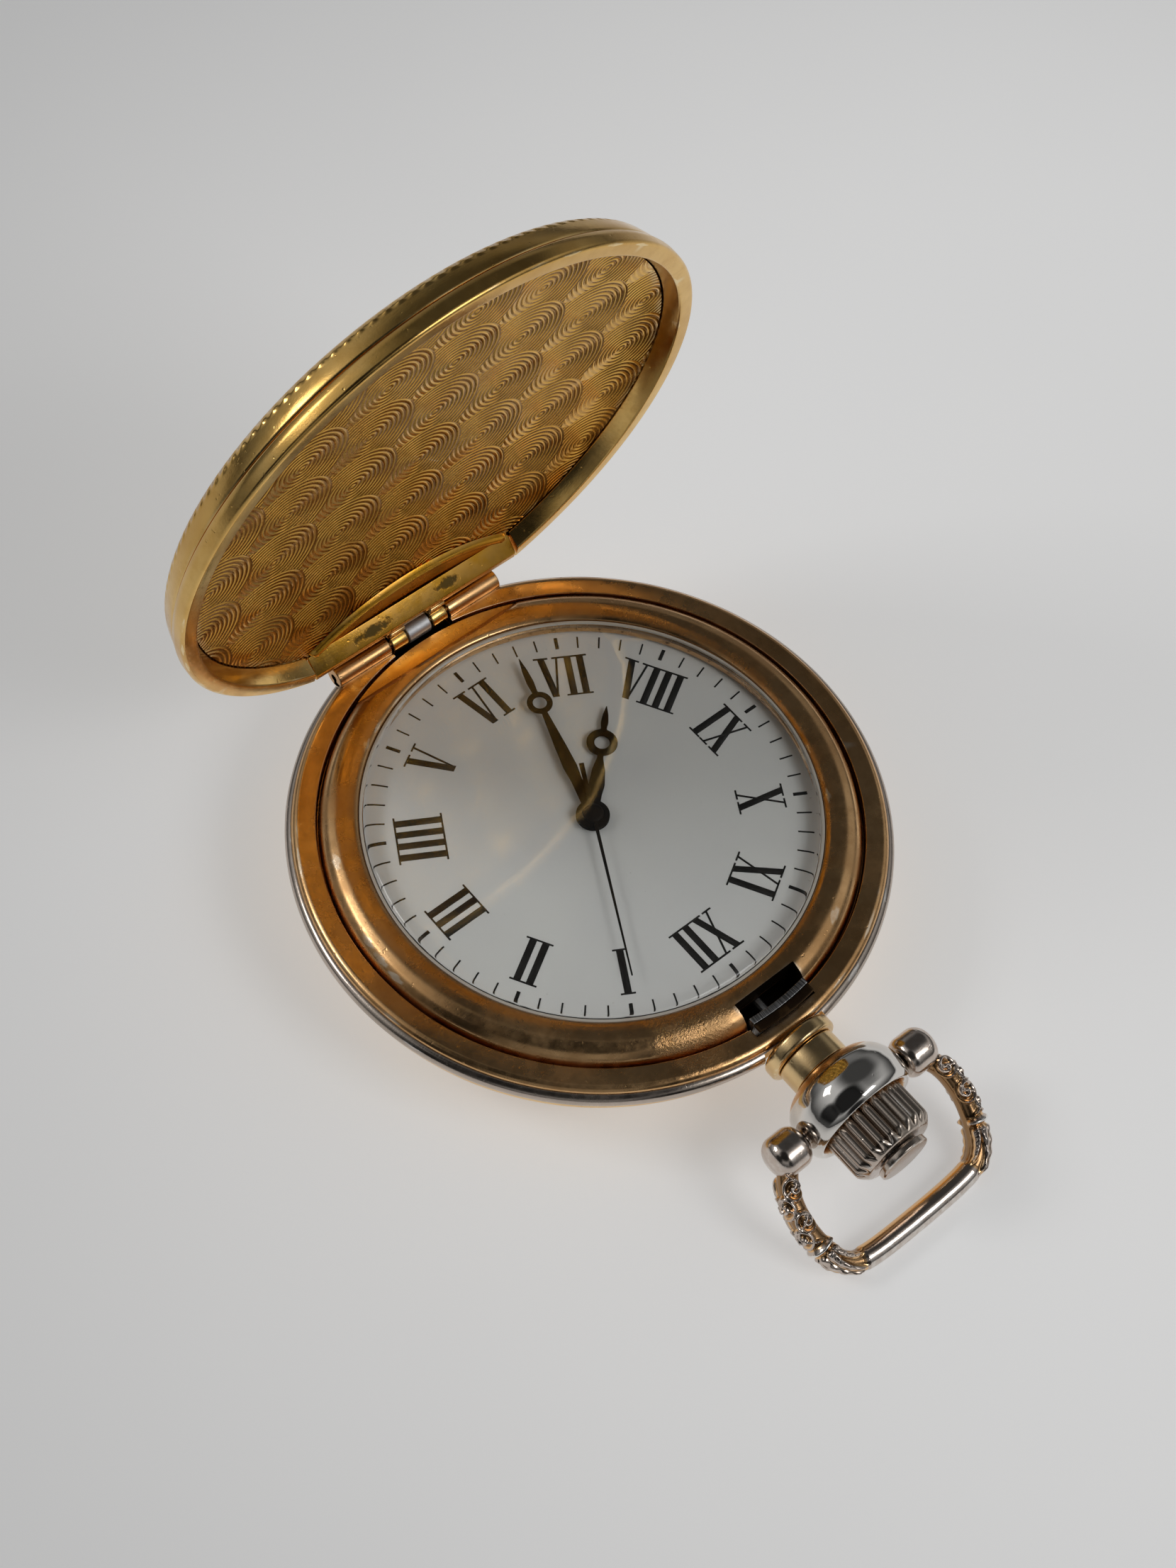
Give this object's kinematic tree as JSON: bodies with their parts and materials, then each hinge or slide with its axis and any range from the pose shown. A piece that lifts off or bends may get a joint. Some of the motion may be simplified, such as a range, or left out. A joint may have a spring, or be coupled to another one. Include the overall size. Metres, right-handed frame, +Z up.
{
  "type": "pocket watch",
  "caption": "Hunter-case pocket watch with a sprung hinged lid, domed crystal, Roman dial, fluted crown and a swinging bow.",
  "frame": {"origin": "centre of the flat on the case back that the watch lies on", "axes": "+Z up out of the dial, +Y towards the pendant and crown at twelve, +X towards three"},
  "size_m": [0.0468, 0.0642, 0.0527],
  "materials": {
    "gold_plate": "polished gold plate, worn",
    "rose_gold_plate": "worn, pitted rose gold plate",
    "engraved_gold": "satin, engine-turned",
    "silver_plate": "polished, slightly worn",
    "steel": "brushed",
    "brass": "satin",
    "copper": "enamelled wire",
    "hand_black": "gloss black-brown",
    "dial_white": "satin white",
    "crystal": "clear polished",
    "white_plastic": "matte",
    "board": "matte",
    "rubber": "matte"
  },
  "bodies": {
    "case": {"case_middle": "rose_gold_plate", "case_band": "silver_plate", "case_back": "gold_plate", "back_gasket": "rubber", "bezel": "rose_gold_plate", "crystal": "crystal", "crystal_gasket": "white_plastic", "hinge_knuckle_left": "gold_plate", "hinge_knuckle_right": "gold_plate", "hinge_pin": "steel", "lid_spring": "steel", "pendant_collar": "gold_plate", "pendant_tube": "gold_plate", "pendant_head": "silver_plate", "movement_holder": "white_plastic", "main_plate": "brass", "circuit_board": "board", "stator": "steel", "coil": "copper", "train_bridge": "brass", "bridge_screw_1": "steel", "bridge_screw_2": "steel", "bridge_screw_3": "steel", "battery": "steel", "battery_clamp": "steel", "dial": "dial_white"},
    "lid": {"lid_rim": "gold_plate", "lid_cover": "gold_plate", "lid_liner": "engraved_gold", "lid_hinge_block": "gold_plate", "lid_knuckle_left": "gold_plate", "lid_knuckle_right": "gold_plate"},
    "bow": {"bow": "silver_plate"},
    "plunger": {"release_plunger": "brass"},
    "stem": {"crown_stem": "steel"},
    "crown": {"crown": "silver_plate", "crown_cap": "silver_plate"},
    "latch": {"latch_catch": "steel"},
    "rotor": {"rotor": "brass"},
    "step": {"step_wheel": "brass"},
    "third": {"third_wheel": "brass"},
    "seconds": {"seconds_wheel": "brass", "seconds_hand": "hand_black"},
    "centre": {"centre_wheel": "brass"},
    "minute": {"cannon_pinion": "steel", "minute_hand": "hand_black"},
    "minute_reduction": {"minute_wheel": "brass"},
    "hour": {"hour_wheel": "brass", "hour_hand": "hand_black"}
  },
  "joints": [
    {"name": "lid_hinge", "type": "hinge", "parent": "case", "child": "lid", "pos_m": [0, -0.022, 0.0083], "axis": [1, 0, 0], "range_deg": [-81, 0], "stiffness_Nm_per_rad": 0.0025, "springref_deg": 45.84},
    {"name": "bow_swing", "type": "hinge", "parent": "case", "child": "bow", "pos_m": [0, 0.0292, 0.0065], "axis": [1, 0, 0], "range_deg": [-66, 133]},
    {"name": "crown_push", "type": "slide", "parent": "case", "child": "plunger", "axis": [0, 1, 0], "range_m": [-0.0006, 0], "stiffness_N_per_m": 400, "springref_m": 0.0005},
    {"name": "crown_pull", "type": "slide", "parent": "plunger", "child": "stem", "axis": [0, 1, 0], "range_m": [0, 0.001]},
    {"name": "crown_turn", "type": "hinge", "parent": "stem", "child": "crown", "pos_m": [0, 0.032, 0.0065], "axis": [0, 1, 0], "continuous": true},
    {"name": "latch_slide", "type": "slide", "parent": "case", "child": "latch", "axis": [0, 1, 0], "range_m": [-0.0006, 0]},
    {"name": "seconds_spin", "type": "hinge", "parent": "case", "child": "seconds", "pos_m": [0, 0, 0.0083], "axis": [0, 0, 1], "continuous": true},
    {"name": "step_spin", "type": "hinge", "parent": "case", "child": "step", "pos_m": [0.00329, 0.0012, 0.005], "axis": [0, 0, 1], "continuous": true},
    {"name": "rotor_spin", "type": "hinge", "parent": "case", "child": "rotor", "pos_m": [0.0054, 0.00197, 0.005], "axis": [0, 0, 1], "continuous": true},
    {"name": "third_spin", "type": "hinge", "parent": "case", "child": "third", "pos_m": [-0.00432, -0.00157, 0.005], "axis": [0, 0, 1], "continuous": true},
    {"name": "centre_spin", "type": "hinge", "parent": "case", "child": "centre", "pos_m": [0, 0, 0.0051], "axis": [0, 0, 1], "continuous": true},
    {"name": "minute_spin", "type": "hinge", "parent": "case", "child": "minute", "pos_m": [0, 0, 0.008], "axis": [0, 0, 1], "continuous": true},
    {"name": "minute_reduction_spin", "type": "hinge", "parent": "case", "child": "minute_reduction", "pos_m": [0, 0.0029, 0.005], "axis": [0, 0, 1], "continuous": true},
    {"name": "hour_spin", "type": "hinge", "parent": "case", "child": "hour", "pos_m": [0, 0, 0.0078], "axis": [0, 0, 1], "continuous": true}
  ],
  "couplings": [
    {"joint": "latch_slide", "follows": "crown_push", "ratio": 1},
    {"joint": "step_spin", "follows": "seconds_spin", "ratio": -6},
    {"joint": "rotor_spin", "follows": "seconds_spin", "ratio": 30},
    {"joint": "third_spin", "follows": "seconds_spin", "ratio": -0.13333},
    {"joint": "centre_spin", "follows": "seconds_spin", "ratio": 0.016667},
    {"joint": "minute_reduction_spin", "follows": "minute_spin", "ratio": -0.33333},
    {"joint": "hour_spin", "follows": "minute_spin", "ratio": 0.083333}
  ]
}
